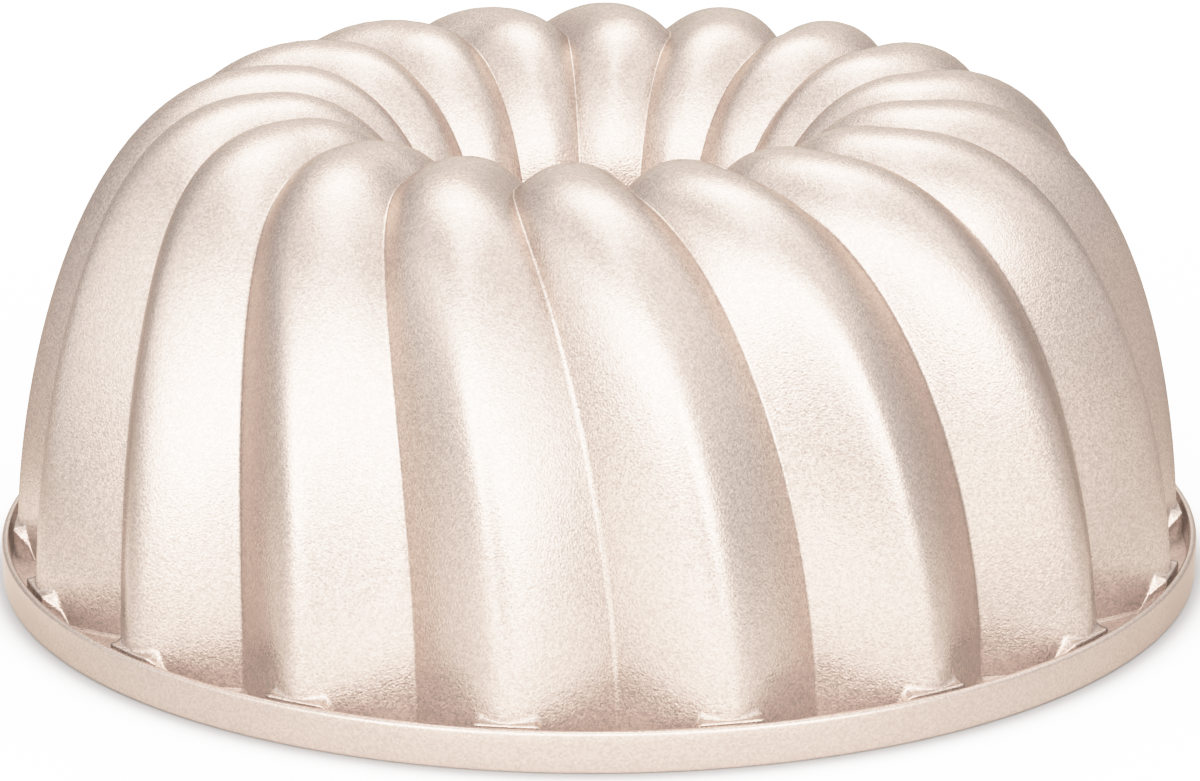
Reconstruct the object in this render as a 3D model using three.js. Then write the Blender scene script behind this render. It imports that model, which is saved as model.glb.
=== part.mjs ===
// A cast aluminium fluted tube pan, standing mouth down on its rim.
// Millimetres, +Z up, origin on the table at the centre of the rim.
import * as THREE from 'three';

// Rim: a flat flange whose outer edge turns up into a lip, with a trough behind it
const rimRadius = 125; // outside of the rim band
const bandHeight = 8.4; // table to the top of the lip
const lipThickness = 1.4; // at the top of the lip
const lipDraft = 0.4; // lean of the lip's inner face
const flangeThickness = 2.6; // table to the floor of the trough
const ledgeWidth = 1; // ledge at each crest foot, level with the lip: crest foot to the lip's inner face
const ledgeLength = 12.4; // along the rim, at full height
const ledgeSlope = 7.5; // length of each sloping end of a ledge
const footReveal = 2; // flute foot that belongs to the rim, above the ledge

// Flutes: sharp valleys and round crests that swirl from the rim over the crown
const fluteCount = 18;
const footDepth = 11; // valley to crest at the rim
const crownDepth = 5.2; // valley to crest at the crown
const depthEase = 1.33; // over 1: the flutes stay deep on the lower wall
const crestRoundness = 0.16; // of a tight crest, as a share of half a flute
const flankPower = 1; // flat flanks on the lower wall
const crownPower = 2.3; // nearly half-round at the crown
const roundingStart = 0.45; // stations of the wall between which the crests grow round
const roundingEnd = 0.95;
const swirlAngle = 16; // degrees from the rim to the end of the swirl
const swirlEndRadius = 64.8; // the flutes run straight to the axis inside this
const swirlEase = 1.23; // over 1: the flutes swirl most at the rim
const frontValley = 1.72; // degrees from -Y to the nearest valley foot

// Body of revolution that the valleys lie on
const panHeight = 101; // table to the crests of the crown
const uprightHeight = 5.2; // the foot of the wall stands upright up to here
const crownRadius = 64.9; // ring where the crown is highest
const crownSplitDrop = 21; // the crown zone reaches this far below the crests
const shoulderFullness = 0.756; // under 1: the shoulder stays wide before it turns in
const wallFullness = 1.137; // over 1: the wall starts close to upright
const throatRadius = 34; // where the funnel of the crown becomes the tube
const throatHeight = 54.3;
const tubeDraft = 5; // degrees of taper on the tube
const tubeEndHeight = 4; // table to the open end of the tube
const fluteFadeHeight = 30; // the flutes have died out in the tube here
const wallThickness = 3.2;

const coatColour = 0xd8c6b8;
const coatRoughness = 0.42;
const coatMetalness = 0.85;

const lipInnerRadius = rimRadius - lipThickness;
const troughOuterRadius = lipInnerRadius - lipDraft;
const crestFootRadius = troughOuterRadius - ledgeWidth;
const valleyFootRadius = crestFootRadius - footDepth;
const valleyCrownHeight = panHeight - crownDepth;
const footHeight = bandHeight + footReveal;
const crownSplitHeight = panHeight - crownSplitDrop;
const flutePitch = (2 * Math.PI) / fluteCount;
const rimPitch = flutePitch * rimRadius;

const lerp = THREE.MathUtils.lerp;
const quarterTurn = Math.PI / 2;
const cutHalvings = 40;
const underTable = -2; // stations past both ends of the wall
const pastTube = 4;
const tangentStep = 1e-4;

// The funnel is a quarter ellipse, left where it is as steep as the tube
const funnelWidth = crownRadius - throatRadius;
const funnelDrop = valleyCrownHeight - throatHeight;
const tubeLean = Math.tan(THREE.MathUtils.degToRad(tubeDraft));
const funnelTurn = Math.atan2(funnelWidth, funnelDrop * tubeLean);

// Point of the valley line: station -1 table, 0 top of the upright foot, 1 crown, 2 funnel end, 3 tube end
function valleyPoint(station) {
  if (station < 0) {
    return new THREE.Vector2(valleyFootRadius, uprightHeight * (1 + station));
  }
  if (station <= 1) {
    const turn = station * quarterTurn;
    const inward = Math.max(Math.cos(turn), 0) ** shoulderFullness;
    const upward = Math.sin(turn) ** wallFullness;
    return new THREE.Vector2(
      lerp(crownRadius, valleyFootRadius, inward),
      lerp(uprightHeight, valleyCrownHeight, upward),
    );
  }
  const turn = Math.min(station - 1, 1) * funnelTurn;
  const funnel = new THREE.Vector2(
    crownRadius - funnelWidth * Math.sin(turn),
    throatHeight + funnelDrop * Math.cos(turn),
  );
  const drop = Math.max(station - 2, 0) * (funnel.y - tubeEndHeight);
  return funnel.sub(new THREE.Vector2(drop * tubeLean, drop));
}

// Direction that faces out of the wall, in the plane of the axis
function valleyNormal(station) {
  const ahead = valleyPoint(station + tangentStep);
  const along = ahead.sub(valleyPoint(station - tangentStep)).normalize();
  return new THREE.Vector2(along.y, -along.x);
}

function fluteDepth(station, height) {
  if (station <= 1) {
    return lerp(footDepth, crownDepth, Math.max(station, 0) ** depthEase);
  }
  return crownDepth * THREE.MathUtils.smoothstep(height, fluteFadeHeight, valleyCrownHeight);
}

// 0 in the valleys and 1 on the crest, for a place across the flute from 0 to 1
function lobe(across, power) {
  const side = Math.hypot(2 * across - 1, crestRoundness) ** power;
  const crest = crestRoundness ** power;
  const valley = Math.hypot(1, crestRoundness) ** power;
  return (valley - side) / (valley - crest);
}

function swirlAt(radius) {
  const reach = Math.max(radius - swirlEndRadius, 0) / (valleyFootRadius - swirlEndRadius);
  return -THREE.MathUtils.degToRad(swirlAngle) * (1 - reach ** swirlEase);
}

// Point of the outer face, or of the cake side when inset by the wall
function wallPoint(station, across, inset) {
  const valley = valleyPoint(station);
  const normal = valleyNormal(station);
  const rounding = THREE.MathUtils.smoothstep(station, roundingStart, roundingEnd);
  const power = lerp(flankPower, crownPower, rounding);
  const lift = fluteDepth(station, valley.y) * lobe(across, power) - inset;
  return {
    radius: valley.x + normal.x * lift,
    height: valley.y + normal.y * lift,
    turn: swirlAt(valley.x) + across * flutePitch,
  };
}

// Station where the wall passes a level, found by halving from one end to the other
function cutStation(level, across, inset, below, above) {
  let low = below;
  let high = above;
  for (let i = 0; i < cutHalvings; i += 1) {
    const middle = (low + high) / 2;
    if (wallPoint(middle, across, inset).height < level) {
      low = middle;
    } else {
      high = middle;
    }
  }
  return (low + high) / 2;
}

const outerCut = (level, across, inset) => cutStation(level, across, inset, underTable, 1);
const innerCut = (level, across, inset) => cutStation(level, across, inset, pastTube, 1);

// Rows of points round the pan, each a function of the place across a flute
const levelRow = (cut, level, inset) => (across) => {
  const point = wallPoint(cut(level, across, inset), across, inset);
  return { ...point, height: level };
};

const crownRow = (share, inset) => (across) => {
  const first = outerCut(crownSplitHeight, across, inset);
  const last = innerCut(crownSplitHeight, across, inset);
  return wallPoint(lerp(first, last, share), across, inset);
};

const bandRow = (radius, heightAt) => (across) => {
  const height = heightAt(across);
  return { radius, height, turn: across * flutePitch };
};

// Joins rows that close on themselves into a ring: up the outside, inwards, and back
function ringGeometry(rows, facets) {
  const positions = [];
  const columns = fluteCount * facets.length;
  for (const row of rows) {
    const flute = facets.map(row);
    for (let column = 0; column < columns; column += 1) {
      const point = flute[column % facets.length];
      const turns = Math.floor(column / facets.length) * flutePitch;
      const angle = turns + point.turn + THREE.MathUtils.degToRad(frontValley) - quarterTurn;
      positions.push(point.radius * Math.cos(angle), point.radius * Math.sin(angle), point.height);
    }
  }
  const indices = [];
  rows.forEach((row, i) => {
    const here = i * columns;
    const above = ((i + 1) % rows.length) * columns;
    for (let column = 0; column < columns; column += 1) {
      const next = (column + 1) % columns;
      indices.push(here + column, here + next, above + next);
      indices.push(here + column, above + next, above + column);
    }
  });
  const geometry = new THREE.BufferGeometry();
  geometry.setAttribute('position', new THREE.Float32BufferAttribute(positions, 3));
  geometry.setIndex(indices);
  geometry.computeVertexNormals();
  return geometry;
}

function part(name, geometry) {
  const material = new THREE.MeshStandardMaterial({
    color: coatColour,
    roughness: coatRoughness,
    metalness: coatMetalness,
  });
  const mesh = new THREE.Mesh(geometry, material);
  mesh.name = name;
  return mesh;
}

const steps = (count) => Array.from({ length: count + 1 }, (unused, i) => i / count);

// Places across a flute: the flanks are flat, so most of them are near the crest
const fluteFacets = [0, 0.22, 0.4, 0.5, 0.6, 0.78];
const wallBands = 8;
const crownBands = 11;
const tubeBands = 6;

// Rim flange: band, lip, trough with a ledge at every crest, and the feet of the flutes
function rimFlange() {
  const ledgeHalf = ledgeLength / 2 / rimPitch;
  const ledgeReach = ledgeHalf + ledgeSlope / rimPitch;
  const halfFacets = [0, (0.5 - ledgeReach) / 2, 0.5 - ledgeReach, 0.5 - ledgeHalf, 0.5 - ledgeHalf / 2];
  const otherHalf = halfFacets.slice(1).reverse().map((across) => 1 - across);
  const facets = [...halfFacets, 0.5, ...otherHalf];
  const floor = (across) => {
    const beyond = (Math.abs(across - 0.5) - ledgeHalf) / (ledgeReach - ledgeHalf);
    return lerp(bandHeight, flangeThickness, THREE.MathUtils.clamp(beyond, 0, 1));
  };
  const floorEdge = (across) => levelRow(outerCut, floor(across), 0)(across);
  const rows = [
    bandRow(rimRadius, () => 0),
    bandRow(rimRadius, () => bandHeight),
    bandRow(lipInnerRadius, () => bandHeight),
    bandRow(troughOuterRadius, floor),
    floorEdge,
    levelRow(outerCut, footHeight, 0),
    levelRow(outerCut, footHeight, wallThickness),
    levelRow(outerCut, 0, wallThickness),
  ];
  return part('rim_flange', ringGeometry(rows, facets));
}

// Fluted wall: from the rim to the shoulder
function flutedWall() {
  const heights = steps(wallBands).map((share) => lerp(footHeight, crownSplitHeight, share));
  const outside = heights.map((height) => levelRow(outerCut, height, 0));
  const cakeSide = heights.map((height) => levelRow(outerCut, height, wallThickness)).reverse();
  return part('fluted_wall', ringGeometry([...outside, ...cakeSide], fluteFacets));
}

// Crown: the rounded ring where the flutes turn over into the middle
function crownRing() {
  const face = (inset) => [
    levelRow(outerCut, crownSplitHeight, inset),
    ...steps(crownBands).slice(1, -1).map((share) => crownRow(share, inset)),
    levelRow(innerCut, crownSplitHeight, inset),
  ];
  return part('crown_ring', ringGeometry([...face(0), ...face(wallThickness).reverse()], fluteFacets));
}

// Centre tube: the lower funnel and the open tube that lets heat up through the cake
function centreTube() {
  const heights = steps(tubeBands).map((share) => lerp(crownSplitHeight, tubeEndHeight, share));
  const holeSide = heights.map((height) => levelRow(innerCut, height, 0));
  const cakeSide = heights.map((height) => levelRow(innerCut, height, wallThickness)).reverse();
  return part('centre_tube', ringGeometry([...holeSide, ...cakeSide], fluteFacets));
}

const pan = new THREE.Group();
pan.name = 'fluted_tube_pan';
pan.add(rimFlange(), flutedWall(), crownRing(), centreTube());

export default pan;
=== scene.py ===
import math
import bmesh
import bpy
from mathutils import Matrix, Vector, noise


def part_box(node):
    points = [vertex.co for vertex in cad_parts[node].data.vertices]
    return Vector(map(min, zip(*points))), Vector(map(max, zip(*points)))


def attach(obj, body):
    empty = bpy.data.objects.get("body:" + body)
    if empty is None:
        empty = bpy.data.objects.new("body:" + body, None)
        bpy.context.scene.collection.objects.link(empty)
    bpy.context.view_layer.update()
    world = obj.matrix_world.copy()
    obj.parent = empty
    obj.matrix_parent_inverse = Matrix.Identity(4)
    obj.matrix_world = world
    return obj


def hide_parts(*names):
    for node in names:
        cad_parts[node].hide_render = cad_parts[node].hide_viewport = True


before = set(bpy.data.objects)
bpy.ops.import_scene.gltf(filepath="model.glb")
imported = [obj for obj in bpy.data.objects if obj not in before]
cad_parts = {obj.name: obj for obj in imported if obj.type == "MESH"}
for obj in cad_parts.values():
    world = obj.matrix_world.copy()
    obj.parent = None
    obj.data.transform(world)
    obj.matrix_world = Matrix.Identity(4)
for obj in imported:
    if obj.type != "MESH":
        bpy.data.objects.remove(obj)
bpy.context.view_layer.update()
print('frame loaded:', sorted(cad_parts))

mm = 0.001
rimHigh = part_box('rim_flange')[1]
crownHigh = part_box('crown_ring')[1]
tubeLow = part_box('centre_tube')[0]
crestRise = 0.12     # mm that the rounded crests rise past the crown's height

# millimetres and degrees; the outer sizes come from the frame
pan = {
    'rimRadius': min(rimHigh.x, rimHigh.y) / mm,
    'bandHeight': 8.4,
    'bandRound': 0.85,        # outer edge of the lip
    'footEdge': 0.9,          # outer edge of the underside
    'lipThickness': 1.4,
    'lipRound': 0.4,          # inner edge of the lip
    'lipTurn': 175,           # where that edge meets the leaning inner face
    'lipDraft': 0.4,
    'flangeThickness': 2.6,   # table to the trough floor
    'troughRound': 0.25,      # fillets of the trough floor
    'ledgeWidth': 1.0,        # crest foot to the lip's inner face
    'ledgeLength': 12.2,      # plinth at each crest foot, along the rim
    'ledgeSlope': 3.4,        # each sloping end of a plinth
    'ledgeRise': 0.15,        # plinth above the top of the lip
    'ledgeReach': 0.5,        # plinth out from the crest foot
    'endReach': 0.55,         # plinth out from the wall on its sloping ends
    'endStart': 0.25,         # share of a slope over which its face comes out of the wall
    'ledgeRound': 0.42,       # outer edge of a plinth
    'roundLimit': 0.8,        # of a plinth's height, where it is low
    'ledgeFillet': 0.45,      # height of the cove from plinth to wall, per width of the plinth
    'castMarks': 0.2,         # lumps left on the sloping ends
    'castMarkScale': 650,     # per metre
    'castMarkStart': 0.01,
    'mouthRound': 1.6,
    'flutes': 18,
    'footDepth': 11.0,
    'crownDepth': 5.2,
    'depthEase': 1.33,
    'crestRoundness': 0.16,   # of half a flute's width, at the foot
    'flankPower': 1.0,        # 1 flat flanks, 2 a parabola
    'crownPower': 2.3,
    'funnelPower': 1.7,
    'funnelRounding': 0.5,    # stations past the crown
    'funnelEase': 2.2,        # over 1: the flutes grow shallow soon past the crown
    'roundingStart': 0.45,    # stations between which the crests grow round
    'roundingEnd': 0.95,
    'creaseRound': 0.015,     # share of the flute depth that the valley fillet fills
    'swirl': 16.0,
    'swirlEndRadius': 64.8,
    'swirlEase': 1.23,
    'frontValley': 1.72,
    'panHeight': crownHigh.z / mm - crestRise,
    'uprightHeight': 5.2,     # the foot of the wall stands upright up to here
    'footTop': 12.0,          # over the plinths
    'pocketTop': 18.0,        # the spray lies thick and rough behind the lip, up to here; the colour there is also lightened as painted light
    'pocketFull': 6.0,
    'crownRadius': 64.9,
    'shoulderFullness': 0.756,
    'wallFullness': 1.137,
    'throatRadius': 34.0,
    'throatHeight': 54.3,
    'tubeDraft': 5.0,
    'tubeEndHeight': tubeLow.z / mm,
    'tubeEndRound': 1.1,
    'fluteFadeHeight': 30.0,
    'wall': 3.2,
}

lipInnerRadius = pan['rimRadius'] - pan['lipThickness']
troughOuterRadius = lipInnerRadius - pan['lipDraft']
valleyFootRadius = troughOuterRadius - pan['ledgeWidth'] - pan['footDepth']
valleyCrownHeight = pan['panHeight'] - pan['crownDepth']
ledgeHeight = pan['bandHeight'] + pan['ledgeRise']
ledgeRadius = troughOuterRadius - pan['ledgeWidth'] + pan['ledgeReach']
pitch = 2 * math.pi / pan['flutes']
rimPitch = pitch * pan['rimRadius']
funnelWidth = pan['crownRadius'] - pan['throatRadius']
funnelDrop = valleyCrownHeight - pan['throatHeight']
tubeLean = math.tan(math.radians(pan['tubeDraft']))
funnelTurn = math.atan2(funnelWidth, funnelDrop * tubeLean)
underTable = -2      # stations past both ends of the wall
pastTube = 4
tangentStep = 1e-4
cutHalvings = 36
weldGap = 1e-6
lumpShifts = (0, 20, 40)   # one place in the noise for each axis


def lerp(start, end, share):
    return start + (end - start) * share


def clamp(value):
    return min(max(value, 0.0), 1.0)


def smooth(value):
    value = clamp(value)
    return value * value * (3 - 2 * value)


# valley line: station -1 table, 0 top of the upright foot, 1 crown, 2 funnel end, 3 tube end
def valleyPoint(station):
    if station < 0:
        return Vector((valleyFootRadius, pan['uprightHeight'] * (1 + station)))
    if station <= 1:
        turn = station * math.pi / 2
        inward = max(math.cos(turn), 0) ** pan['shoulderFullness']
        upward = math.sin(turn) ** pan['wallFullness']
        return Vector((lerp(pan['crownRadius'], valleyFootRadius, inward),
                       lerp(pan['uprightHeight'], valleyCrownHeight, upward)))
    turn = min(station - 1, 1) * funnelTurn
    radius = pan['crownRadius'] - funnelWidth * math.sin(turn)
    height = pan['throatHeight'] + funnelDrop * math.cos(turn)
    drop = max(station - 2, 0) * (height - pan['tubeEndHeight'])
    return Vector((radius - drop * tubeLean, height - drop))


def valleyNormal(station):
    along = (valleyPoint(station + tangentStep) - valleyPoint(station - tangentStep)).normalized()
    return Vector((along.y, -along.x))


def fluteDepth(station, height):
    if station <= 1:
        return lerp(pan['footDepth'], pan['crownDepth'], max(station, 0) ** pan['depthEase'])
    reach = valleyCrownHeight - pan['fluteFadeHeight']
    return pan['crownDepth'] * clamp((height - pan['fluteFadeHeight']) / reach) ** pan['funnelEase']


# 0 in the valley, 1 on the crest, with a small fillet along the valley
def lobe(across, power):
    side = math.hypot(2 * across - 1, pan['crestRoundness']) ** power
    crest = pan['crestRoundness'] ** power
    valley = math.hypot(1, pan['crestRoundness']) ** power
    return math.hypot((valley - side) / (valley - crest), pan['creaseRound'])


def swirlAt(radius):
    reach = max(radius - pan['swirlEndRadius'], 0) / (valleyFootRadius - pan['swirlEndRadius'])
    return -math.radians(pan['swirl']) * (1 - reach ** pan['swirlEase'])


# radius, height and turn of a point on the outside, or on the cake side when inset
def wallPoint(station, across, inset=0.0):
    valley = valleyPoint(station)
    rounding = (station - pan['roundingStart']) / (pan['roundingEnd'] - pan['roundingStart'])
    power = lerp(pan['flankPower'], pan['crownPower'], smooth(rounding))
    power = lerp(power, pan['funnelPower'], smooth((station - 1) / pan['funnelRounding']))
    lift = fluteDepth(station, valley.y) * lobe(across, power) - inset
    spot = valley + valleyNormal(station) * lift
    return spot.x, spot.y, swirlAt(valley.x) + across * pitch


# station where the wall passes a level, between one end and the crown
def cutStation(level, across, inset, end):
    below, above = end, 1
    for halving in range(cutHalvings):
        middle = (below + above) / 2
        if wallPoint(middle, across, inset)[1] < level:
            below = middle
        else:
            above = middle
    return (below + above) / 2


# 1 on the plinth at a crest foot, 0 in the trough between
def ledgeMask(across):
    away = abs(across - 0.5) * rimPitch - pan['ledgeLength'] / 2
    return 1 - clamp(away / pan['ledgeSlope'])


# 1 on the plinth and 0 from halfway down its sloping ends
def plinthTop(across):
    return smooth(ledgeMask(across) * 2 - 1)


def ledgeLevel(across):
    low = pan['flangeThickness'] + pan['troughRound']
    return lerp(low, ledgeHeight, ledgeMask(across))


def footPoint(level, across):
    return wallPoint(cutStation(level, across, 0.0, underTable), across)


def coveRise(across):
    width = ledgeRadius - footPoint(ledgeLevel(across), across)[0]
    return lerp(pan['troughRound'], width * pan['ledgeFillet'], plinthTop(across))


# rows along the section, as many as each stretch, edge or fillet needs
rows = {'foot': 6, 'wall': 32, 'funnel': 24, 'tube': 7, 'cakeTube': 5, 'cakeFunnel': 14, 'cakeWall': 18,
        'edge': 4, 'mouth': 5, 'fillet': 3}

# rows at places of their own; a cove has shares of its width and of its rise, near a quarter ellipse
rowPlaces = {'band': (0.33, 0.67), 'trough': (0.4, 0.8, 1.0), 'cove': ((0.45, 0.11), (0.82, 0.43))}


# from 0 to 1 in even steps
def shares(count):
    return [step / count for step in range(count + 1)]


def arc(centre, radius, start, end, count):
    angles = [math.radians(lerp(start, end, share)) for share in shares(count)]
    return [(centre[0] + radius * math.cos(angle), centre[1] + radius * math.sin(angle)) for angle in angles]


def turned(spots, turn):
    return [(*spot, turn) for spot in spots]


# foot, wall, crown, funnel and tube, down to the tube's end
def outsideOutline(across):
    low = ledgeLevel(across) + coveRise(across)
    spots = [footPoint(lerp(low, pan['footTop'], share), across) for share in shares(rows['foot'])[:-1]]
    first = cutStation(pan['footTop'], across, 0.0, underTable)
    spots += [wallPoint(lerp(first, 1, share), across) for share in shares(rows['wall'])]
    spots += [wallPoint(1 + share, across) for share in shares(rows['funnel'])[1:]]
    soft = pan['tubeEndRound']
    last = cutStation(pan['tubeEndHeight'] + soft, across, 0.0, pastTube)
    spots += [wallPoint(lerp(2, last, share), across) for share in shares(rows['tube'])[1:]]
    radius, height, turn = spots[-1]
    return spots + turned(arc((radius + soft, height), soft, 180, 270, rows['edge'])[1:], turn)


# back from the tube's end to the mouth
def cakeOutline(across):
    wall = pan['wall']
    soft = pan['tubeEndRound']
    first = cutStation(pan['tubeEndHeight'] + soft, across, wall, pastTube)
    radius, height, turn = wallPoint(first, across, wall)
    spots = turned(arc((radius - soft, height), soft, 270, 360, rows['edge'])[:-1], turn)
    spots += [wallPoint(lerp(first, 2, share), across, wall) for share in shares(rows['cakeTube'])[:-1]]
    spots += [wallPoint(2 - share, across, wall) for share in shares(rows['cakeFunnel'])[:-1]]
    soft = pan['mouthRound']
    last = cutStation(soft, across, wall, underTable)
    spots += [wallPoint(lerp(1, last, share), across, wall) for share in shares(rows['cakeWall'])]
    radius = spots[-1][0]
    return spots + turned(arc((radius + soft, soft), soft, 180, 270, rows['mouth'])[1:], across * pitch)


# edge of the flat underside, band and lip
def bandOutline(across):
    low = pan['footEdge']
    high = pan['bandRound']
    soft = pan['lipRound']
    top = pan['bandHeight'] - high
    spots = arc((pan['rimRadius'] - low, low), low, 270, 360, rows['edge'])
    spots += [(pan['rimRadius'], lerp(low, top, share)) for share in rowPlaces['band']]
    spots += arc((pan['rimRadius'] - high, top), high, 0, 90, rows['edge'])
    spots += arc((lipInnerRadius + soft, pan['bandHeight'] - soft), soft, 90, pan['lipTurn'], rows['edge'])
    return turned(spots, across * pitch)


# radius of the plinth's outer face, or of the trough's inner fillet between plinths
def plinthFace(across, foot):
    out = clamp(ledgeMask(across) / pan['endStart'])
    face = foot + lerp(pan['troughRound'], pan['endReach'], out)
    return lerp(face, ledgeRadius, plinthTop(across))


def troughOutline(across, foot):
    floor = pan['flangeThickness']
    fillet = pan['troughRound']
    face = plinthFace(across, foot)
    spots = arc((troughOuterRadius - fillet, floor + fillet), fillet, 360, 270, rows['fillet'])
    spots += [(lerp(spots[-1][0], face, share), floor) for share in rowPlaces['trough']]
    return turned(spots, across * pitch)


# up the plinth and along its cove to the foot of the flute
def plinthOutline(across, foot):
    level = ledgeLevel(across)
    face = plinthFace(across, foot)
    edge = min(pan['ledgeRound'], (level - pan['flangeThickness']) * pan['roundLimit'])
    spots = arc((face - edge, level - edge), edge, 0, 90, rows['edge'])
    for share, up in rowPlaces['cove']:
        spots.append((lerp(face - edge, foot, share), level + coveRise(across) * up))
    return turned(spots, across * pitch)


# the closed section of the casting across one place of a flute, zone by zone
def sectionAt(across):
    outside = outsideOutline(across)
    foot = outside[0][0]
    return {'outside': outside, 'cakeSide': cakeOutline(across), 'band': bandOutline(across),
            'trough': troughOutline(across, foot), 'plinth': plinthOutline(across, foot)}


# columns across half a flute: (count, place) with more of them at valley, ledge end and crest
columnStops = ((0, 0.0), (2, 0.02), (6, 0.17), (10, 0.32), (13, 0.38), (18, 0.5))
columnsPerFlute = 2 * columnStops[-1][0]


def columnPlace(column):
    half = columnStops[-1][0]
    near = column if column <= half else columnsPerFlute - column
    for (before, low), (after, high) in zip(columnStops, columnStops[1:]):
        if near <= after:
            place = lerp(low, high, (near - before) / (after - before))
            return place if column <= half else 1 - place


# one flute: the section at its valley is spun across the pitch and its points moved into shape
def makeFlute(bm):
    sections = [sectionAt(columnPlace(column)) for column in range(columnsPerFlute + 1)]
    table = [[spot for spots in section.values() for spot in spots] for section in sections]
    zones = [zone for zone, spots in sections[0].items() for spot in spots]
    rowLayer = bm.verts.layers.int.new('sectionRow')
    paint = {name: bm.verts.layers.float.new(name) for name in ('cakeSide', 'band', 'castMark', 'pocket')}
    section = []
    for row, spot in enumerate(table[0]):
        point = bm.verts.new((spot[0] * mm, 0, spot[1] * mm))
        point[rowLayer] = row
        section.append(point)
    loop = [bm.edges.new(pair) for pair in zip(section, section[1:] + section[:1])]
    bmesh.ops.spin(bm, geom=section + loop, cent=(0, 0, 0), axis=(0, 0, 1), dvec=(0, 0, 0),
                   angle=pitch, steps=columnsPerFlute, use_merge=False, use_duplicate=False)
    front = math.radians(pan['frontValley']) - math.pi / 2
    for point in bm.verts:
        column = round(math.atan2(point.co.y, point.co.x) / pitch * columnsPerFlute)
        radius, height, turn = table[column][point[rowLayer]]
        point.co = Vector((radius * math.cos(turn + front), radius * math.sin(turn + front), height)) * mm
        zone = zones[point[rowLayer]]
        slope = ledgeMask(columnPlace(column))   # the lumps are largest halfway down
        # pocket mask: rougher, grainier spray and painted light that lightens the colour behind the lip
        deep = smooth((pan['pocketTop'] - height) / (pan['pocketTop'] - pan['pocketFull']))
        point[paint['cakeSide']] = 1.0 if zone == 'cakeSide' else 0.0
        point[paint['band']] = 1.0 if zone == 'band' else 0.0
        point[paint['castMark']] = 4 * slope * (1 - slope) if zone == 'plinth' else 0.0
        point[paint['pocket']] = deep * {'cakeSide': 0.0, 'band': 0.0, 'plinth': 1 - slope}.get(zone, 1.0)


# the flute repeated round the axis and joined into one casting
def makeCasting():
    bm = bmesh.new()
    makeFlute(bm)
    bmesh.ops.spin(bm, geom=bm.verts[:] + bm.edges[:] + bm.faces[:], cent=(0, 0, 0), axis=(0, 0, 1),
                   dvec=(0, 0, 0), angle=2 * math.pi - pitch, steps=pan['flutes'] - 1, use_duplicate=True)
    bmesh.ops.remove_doubles(bm, verts=bm.verts, dist=weldGap)
    markLayer = bm.verts.layers.float['castMark']
    for point in bm.verts:
        if point[markLayer] > pan['castMarkStart']:
            spot = point.co * pan['castMarkScale']
            lump = Vector([noise.noise(spot + Vector((shift, 0, 0))) for shift in lumpShifts])
            point.co += lump * point[markLayer] * pan['castMarks'] * mm
    bmesh.ops.recalc_face_normals(bm, faces=bm.faces)
    for face in bm.faces:
        face.smooth = True
    openEdges = sum(1 for edge in bm.edges if len(edge.link_faces) != 2)
    mesh = bpy.data.meshes.new('pan_casting')
    bm.to_mesh(mesh)
    bm.free()
    piece = bpy.data.objects.new('pan_casting', mesh)
    bpy.context.scene.collection.objects.link(piece)
    print('casting:', len(mesh.vertices), 'points,', len(mesh.polygons), 'faces,', openEdges, 'open edges')
    return piece


# a socket that can be used in arithmetic, so that a finish reads as a formula
class Field:
    def __init__(self, tree, socket=None):
        self.tree = tree
        self.socket = socket

    def node(self, kind, settings=None, inputs=None, output=0):
        made = self.tree.nodes.new(kind)
        for name, setting in (settings or {}).items():
            setattr(made, name, setting)
        for name, source in (inputs or {}).items():
            if isinstance(source, Field):
                self.tree.links.new(source.socket, made.inputs[name])
            else:
                made.inputs[name].default_value = source
        return Field(self.tree, made.outputs[output] if len(made.outputs) else None)

    def math(self, operation, first, second):
        return self.node('ShaderNodeMath', {'operation': operation}, {0: first, 1: second})

    def mix(self, first, second):
        return self.node('ShaderNodeMix', {'data_type': 'RGBA'},
                         {'Factor': self, 6: first, 7: second}, output=2)

    def __add__(self, other):
        return self.math('ADD', self, other)

    def __radd__(self, other):
        return self.math('ADD', other, self)

    def __sub__(self, other):
        return self.math('SUBTRACT', self, other)

    def __rsub__(self, other):
        return self.math('SUBTRACT', other, self)

    def __mul__(self, other):
        return self.math('MULTIPLY', self, other)

    def __rmul__(self, other):
        return self.math('MULTIPLY', other, self)

    def __rpow__(self, other):
        return self.math('POWER', other, self)


def newMaterial(name):
    material = bpy.data.materials.new(name)
    material.use_nodes = True
    material.node_tree.nodes.clear()
    return material, Field(material.node_tree)


coat = {
    'flakeDark': (0.55, 0.487, 0.457, 1),
    'flakeLight': (0.82, 0.726, 0.68, 1),
    'edgeTint': (0.7, 0.66, 0.62, 1),      # flakes show darker at a glancing angle
    'cakeColour': (0.62, 0.53, 0.47, 1),   # non-stick inside
    'metallic': 0.9,
    'roughness': 0.22,
    'peelScale': 2300.0,      # per metre: sprayed orange peel
    'peelDetail': 1.0,
    'peelFade': 0.5,          # of each finer layer
    'flakeScale': 2500.0,     # metal flakes in the spray
    'driftScale': 45.0,       # slow changes of the spray
    'driftDetail': 3.0,
    'peelHeight': 0.00008,
    'flakeHeight': 0.25,      # of the peel's
    'flakeContrast': 0.65,
    'driftContrast': 0.2,
    'flakeRoughness': 0.1,
    'driftRoughness': 0.06,
    'cakeShare': 0.8,         # of the non-stick colour
    'cakeGrain': -0.6,        # change of the grain on the cake side, the band and in the pockets
    'bandGrain': -0.4,
    'pocketGrain': 0.6,
    'pocketPaintedLight': 0.25,      # painted light: the colour is lightened in the pockets behind the lip; the spray is also rougher there
    'pocketRoughness': 0.3,
}


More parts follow.
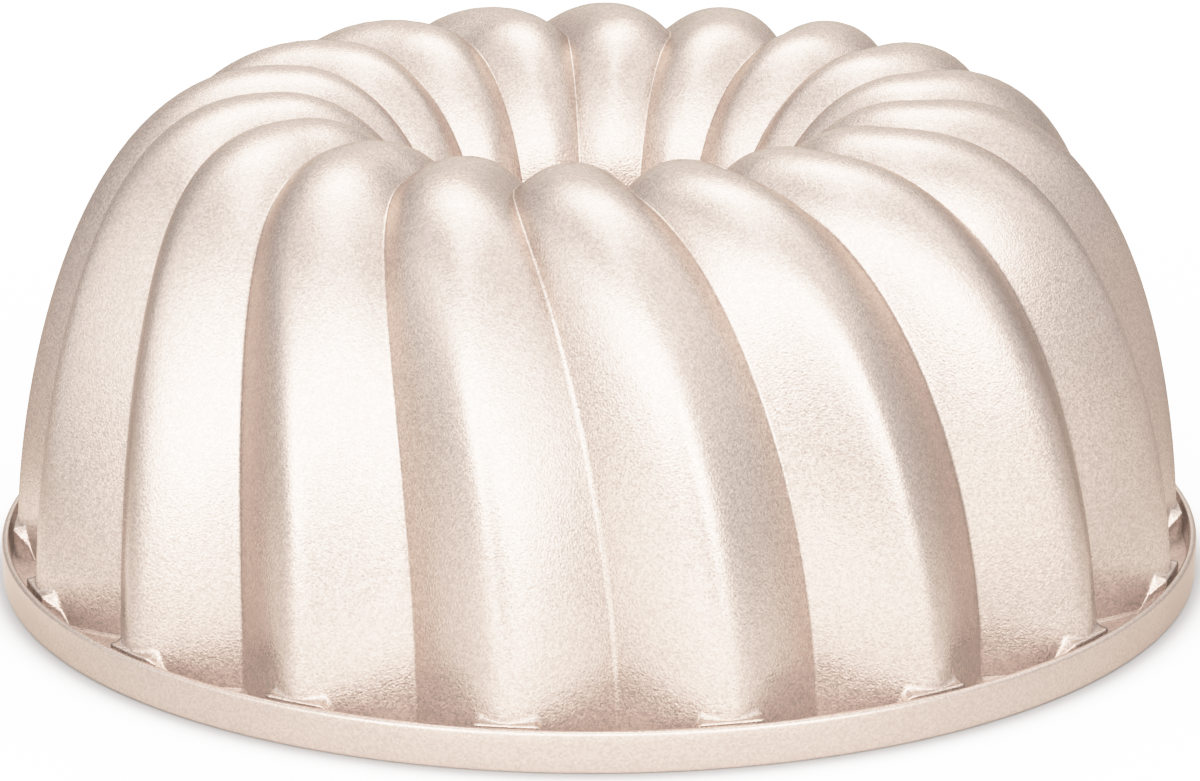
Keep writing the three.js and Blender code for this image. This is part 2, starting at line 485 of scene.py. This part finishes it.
# sprayed champagne metallic: flakes and orange peel, smoother on the cake side
def makeCoat():
    material, start = newMaterial('champagne_coat')
    place = start.node('ShaderNodeTexCoord', output='Object')
    inside, band, pocket = (start.node('ShaderNodeAttribute', {'attribute_name': name}, output='Fac')
                            for name in ('cakeSide', 'band', 'pocket'))
    grain = 1 + inside * coat['cakeGrain'] + band * coat['bandGrain'] + pocket * coat['pocketGrain']
    peel = start.node('ShaderNodeTexNoise', None,
                      {'Vector': place, 'Scale': coat['peelScale'],
                       'Detail': coat['peelDetail'], 'Roughness': coat['peelFade']})
    flakes = start.node('ShaderNodeTexVoronoi', {'feature': 'F1'},
                        {'Vector': place, 'Scale': coat['flakeScale']}, output='Color')
    flake = start.node('ShaderNodeSeparateColor', None, {'Color': flakes}, output=0) - 0.5
    drift = start.node('ShaderNodeTexNoise', None,
                       {'Vector': place, 'Scale': coat['driftScale'], 'Detail': coat['driftDetail']}) - 0.5
    # flake and drift tone, plus painted light that lightens the colour in the pockets behind the lip
    shade = (0.5 + flake * grain * coat['flakeContrast']
             + drift * coat['driftContrast'] + pocket * coat['pocketPaintedLight'])
    tint = shade.mix(coat['flakeDark'], coat['flakeLight'])
    colour = (inside * coat['cakeShare']).mix(tint, coat['cakeColour'])
    roughness = (coat['roughness'] + pocket * coat['pocketRoughness']
                 + flake * coat['flakeRoughness'] + drift * coat['driftRoughness'])
    height = (peel + (flake + 0.5) * coat['flakeHeight']) * grain
    bump = start.node('ShaderNodeBump', None,
                      {'Strength': 1.0, 'Distance': coat['peelHeight'], 'Height': height})
    shader = start.node('ShaderNodeBsdfPrincipled', None,
                        {'Base Color': colour, 'Metallic': coat['metallic'], 'Roughness': roughness,
                         'Specular Tint': coat['edgeTint'], 'Normal': bump})
    start.node('ShaderNodeOutputMaterial', None, {'Surface': shader})
    return material


studio = {
    'floorSize': 6.0,
    'floorRoughness': 0.9,
    'floorColour': (0.45, 0.42, 0.395, 1),    # as the pan sees it
    'paperColour': (1.22, 1.29, 1.35, 1),     # as the camera sees it: overexposed and cooled to white
    'shadeColour': (0.0, 0.0, 0.0, 1),
    'lightColour': (1.0, 0.946, 0.905, 1),
    'ambient': 0.42,
    # degrees from the camera side, elevation, sharpness, strength
    'softboxes': {
        'front': (0, 33, 10, 1.5),
        'frontLeft': (-45, 33, 10, 0.6),
        'frontRight': (45, 33, 10, 0.6),
        'lowLeft': (-35, 10, 14, 1.4),
        'lowRight': (35, 10, 14, 1.4),
        'left': (-85, 25, 8, 0.55),
        'right': (98, 38, 8, 0.45),
        'back': (180, 58, 16, 1.4),
        'backLeft': (-140, 58, 14, 0.5),
        'backRight': (140, 58, 14, 0.5),
        'backLow': (180, 10, 14, 0.6),
        'overhead': (0, 84, 20, 1.0),
    },
    # light that the paper throws back at the pan: x, y, spread, strength
    'floorGlow': {
        'front': (0.0, -0.3, 0.1, 1.2),
        'frontLeft': (-0.25, -0.3, 0.12, 0.9),
        'frontRight': (0.25, -0.3, 0.12, 0.9),
        'left': (-0.16, 0.0, 0.04, 0.5),
        'right': (0.16, 0.0, 0.04, 0.2),
        'back': (0.0, 0.38, 0.16, 0.35),
    },
    # along the rim: the shade on the paper, the light that the band sees and how far they spread
    'contactShade': 0.55,
    'contactSpread': 0.003,
    'rimGlow': 0.15,
    'rimSpread': 0.018,
    # linear level that shows as white, and levels with what they show as
    'whiteLevel': 1.5,
    'toneCurve': ((0.3, 0.38), (0.5, 0.62), (0.8, 0.855), (1.1, 0.95)),
    # camera: degrees and metres
    'elevation': 17.7,
    'distance': 0.991,
    'aim': (0.00033, 0.0, 0.03522),
    'roll': -0.27,
    'focalPixels': 4740.6,
    'frameWidth': 1200,
    'sensor': 36.0,
    'viewDepth': 20.0,
}


def makeCamera():
    data = bpy.data.cameras.new('camera')
    data.sensor_width = studio['sensor']
    data.lens = studio['focalPixels'] / studio['frameWidth'] * studio['sensor']
    data.clip_end = studio['viewDepth']
    camera = bpy.data.objects.new('camera', data)
    tilt = math.radians(studio['elevation'])
    away = Vector((0, -math.cos(tilt), math.sin(tilt))) * studio['distance']
    pitched = Matrix.Rotation(math.pi / 2 - tilt, 4, 'X')
    rolled = Matrix.Rotation(math.radians(studio['roll']), 4, 'Z')
    camera.matrix_world = Matrix.Translation(Vector(studio['aim']) + away) @ pitched @ rolled
    bpy.context.scene.collection.objects.link(camera)
    bpy.context.scene.camera = camera
    print('camera: lens', round(data.lens, 1))


# highest in the middle and falling off softly
def bell(away, spread, strength):
    return math.e ** (away * away * (-0.5 / spread ** 2)) * strength


def makeFloor():
    bm = bmesh.new()
    bmesh.ops.create_grid(bm, x_segments=1, y_segments=1, size=studio['floorSize'])
    mesh = bpy.data.meshes.new('floor')
    bm.to_mesh(mesh)
    bm.free()
    floor = bpy.data.objects.new('floor', mesh)
    bpy.context.scene.collection.objects.link(floor)
    material, start = newMaterial('floor_paper')
    place = start.node('ShaderNodeTexCoord', output='Object')
    shown = start.node('ShaderNodeLightPath', output='Is Camera Ray')

    def awayFrom(x, y):
        return start.node('ShaderNodeVectorMath', {'operation': 'DISTANCE'},
                          {0: place, 1: (x, y, 0)}, output='Value')

    rim = awayFrom(0, 0) - pan['rimRadius'] * mm
    contact = bell(rim, studio['contactSpread'], studio['contactShade'])
    tone = shown.mix(studio['floorColour'], contact.mix(studio['paperColour'], studio['shadeColour']))
    glow = bell(rim, studio['rimSpread'], studio['rimGlow'])
    for x, y, spread, strength in studio['floorGlow'].values():
        glow = glow + bell(awayFrom(x, y), spread, strength)
    glow = glow * (1 - shown)
    lit = start.node('ShaderNodeVectorMath', {'operation': 'SCALE'},
                     {0: studio['lightColour'][:3], 'Scale': glow})
    shader = start.node('ShaderNodeBsdfPrincipled', None,
                        {'Base Color': tone, 'Roughness': studio['floorRoughness'],
                         'Emission Color': lit, 'Emission Strength': 1.0})
    start.node('ShaderNodeOutputMaterial', None, {'Surface': shader})
    mesh.materials.append(material)
    print('floor laid')


# a photo's soft shoulder: light tones are compressed channel by channel
def setToneCurve():
    view = bpy.context.scene.view_settings
    view.view_transform = 'Standard'
    view.use_curve_mapping = True
    mapping = view.curve_mapping
    mapping.white_level = [studio['whiteLevel']] * 3
    master = mapping.curves[3]
    for level, shown in studio['toneCurve']:
        master.points.new(level / studio['whiteLevel'], shown)
    mapping.update()


def makeStudio():
    world = bpy.data.worlds.new('studio')
    world.use_nodes = True
    world.node_tree.nodes.clear()
    start = Field(world.node_tree)
    direction = start.node('ShaderNodeTexCoord', output='Generated')
    strength = studio['ambient']
    for turn, rise, sharpness, power in studio['softboxes'].values():
        turn, rise = math.radians(turn), math.radians(rise)
        axis = (math.sin(turn) * math.cos(rise), -math.cos(turn) * math.cos(rise), math.sin(rise))
        aim = start.node('ShaderNodeVectorMath', {'operation': 'DOT_PRODUCT'},
                         {0: direction, 1: axis}, output='Value')
        strength = strength + math.e ** ((aim - 1) * sharpness) * power
    back = start.node('ShaderNodeBackground', None, {'Color': studio['lightColour'], 'Strength': strength})
    start.node('ShaderNodeOutputWorld', None, {'Surface': back})
    bpy.context.scene.world = world
    setToneCurve()
    print('studio lit')


makeCamera()
casting = makeCasting()
casting.data.materials.append(makeCoat())
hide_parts('rim_flange', 'fluted_wall', 'crown_ring', 'centre_tube')
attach(casting, 'root')
makeFloor()
makeStudio()
